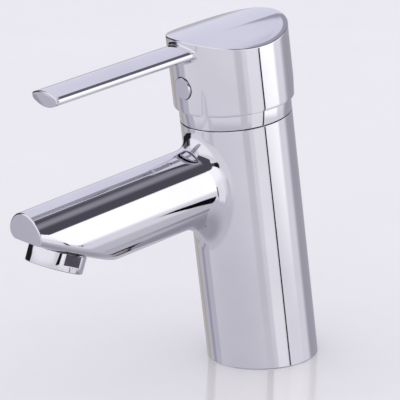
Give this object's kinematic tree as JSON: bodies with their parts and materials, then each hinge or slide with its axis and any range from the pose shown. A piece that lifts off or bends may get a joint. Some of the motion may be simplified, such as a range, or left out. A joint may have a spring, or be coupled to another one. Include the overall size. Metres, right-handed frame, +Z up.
{
  "type": "bathroom mixer faucet",
  "caption": "Single-lever basin mixer: leaning round body, long oval spout with aerator, ceramic-disc cartridge, lever cap and deck clamp kit.",
  "frame": {"origin": "centre of the body's base, on the face of the basin's deck", "axes": "+Z up, square to the deck; -Y along the spout and lever, over the basin; +X to the right of a person behind the tap who looks along +Y"},
  "size_m": [0.0518, 0.1462, 0.2134],
  "materials": {
    "polished_chrome": "mirror-polished bright chrome plate",
    "turned_brass": "turned, unplated",
    "stainless_steel": "turned or woven",
    "black_rubber": "moulded, matt",
    "white_plastic": "moulded",
    "grey_plastic": "moulded",
    "alumina_ceramic": null
  },
  "bodies": {
    "body": {"body_casting": "polished_chrome", "base_seal": "black_rubber", "mounting_stud": "stainless_steel", "rubber_horseshoe_washer": "black_rubber", "steel_horseshoe_washer": "stainless_steel", "clamp_nut": "turned_brass", "cartridge_base": "white_plastic", "hot_inlet_seal": "black_rubber", "cold_inlet_seal": "black_rubber", "outlet_seal": "black_rubber", "fixed_ceramic_disc": "alumina_ceramic", "cartridge_housing": "white_plastic", "cartridge_nut": "turned_brass", "trim_ring": "polished_chrome", "aerator_housing": "polished_chrome", "aerator_gasket": "black_rubber", "aerator_insert": "grey_plastic", "flow_regulator": "white_plastic", "aerator_screen": "stainless_steel", "inlet_screen": "stainless_steel"},
    "carrier": {"stem_carrier": "grey_plastic", "pivot_pin": "stainless_steel"},
    "handle": {"lever_stem": "turned_brass", "handle_cap": "polished_chrome", "lever_bar": "polished_chrome", "indicator_plug": "polished_chrome", "set_screw": "stainless_steel"},
    "disc": {"moving_ceramic_disc": "alumina_ceramic", "disc_coupler": "grey_plastic"}
  },
  "joints": [
    {"name": "handle_turn", "type": "hinge", "parent": "body", "child": "carrier", "pos_m": [0, 0, 0], "axis": [0, -0.0958, 0.9954], "range_deg": [-50, 50]},
    {"name": "handle_lift", "type": "hinge", "parent": "carrier", "child": "handle", "pos_m": [0, -0.01069, 0.11099], "axis": [-1, 0, 0], "range_deg": [0, 25]},
    {"name": "disc_slide", "type": "slide", "parent": "carrier", "child": "disc", "axis": [0, -0.9954, -0.0958], "range_m": [0, 0.0061]}
  ],
  "couplings": [
    {"joint": "disc_slide", "follows": "handle_lift", "m_per_rad": 0.013889}
  ]
}
